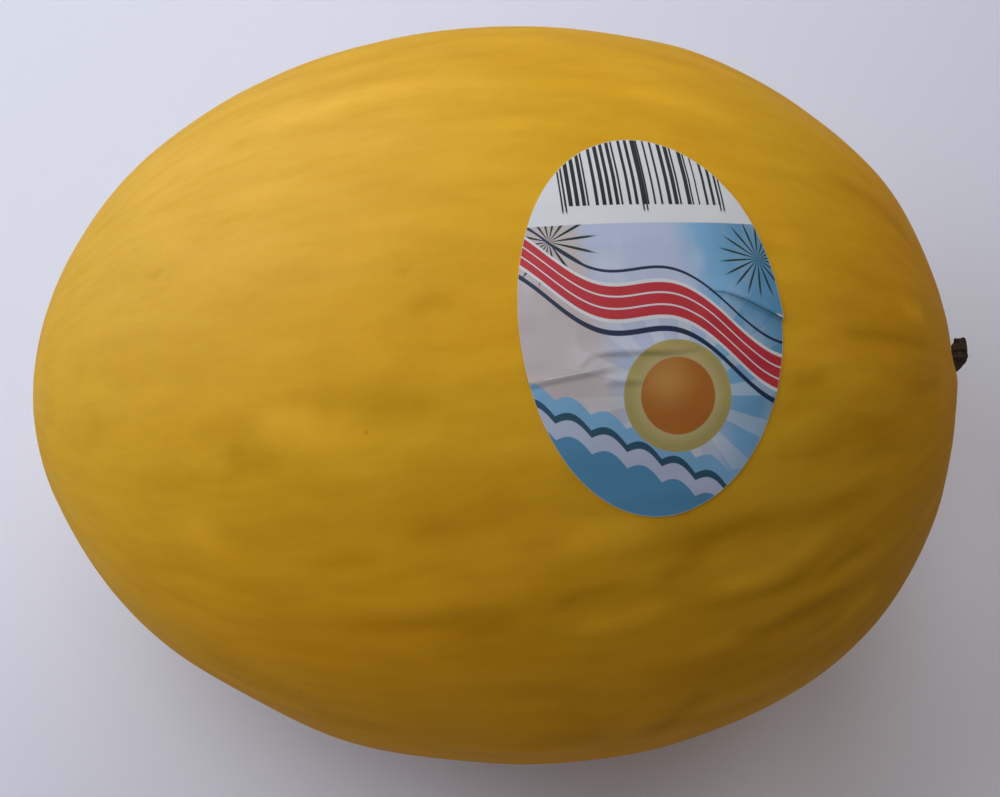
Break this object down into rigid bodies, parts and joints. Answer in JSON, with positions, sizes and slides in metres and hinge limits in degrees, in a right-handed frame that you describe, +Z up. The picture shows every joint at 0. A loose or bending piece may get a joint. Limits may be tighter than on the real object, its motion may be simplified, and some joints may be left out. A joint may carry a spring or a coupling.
{
  "type": "honeydew melon",
  "caption": "Whole yellow-skinned honeydew melon lying on its side, oval, blunter at the stem end, with a dried stem stub and an oval paper label.",
  "frame": {"origin": "middle of the small flat spot that the melon rests on", "axes": "+X along the melon to its stem end, +Z up from the surface it rests on, +Y across it"},
  "size_m": [0.1861, 0.1456, 0.1454],
  "materials": {
    "rind": "satin",
    "dry_stem": "matte",
    "label_paper": "satin"
  },
  "bodies": {
    "root": {"melon_fruit": "rind", "stem_stub": "dry_stem", "oval_label": "label_paper"}
  },
  "joints": []
}
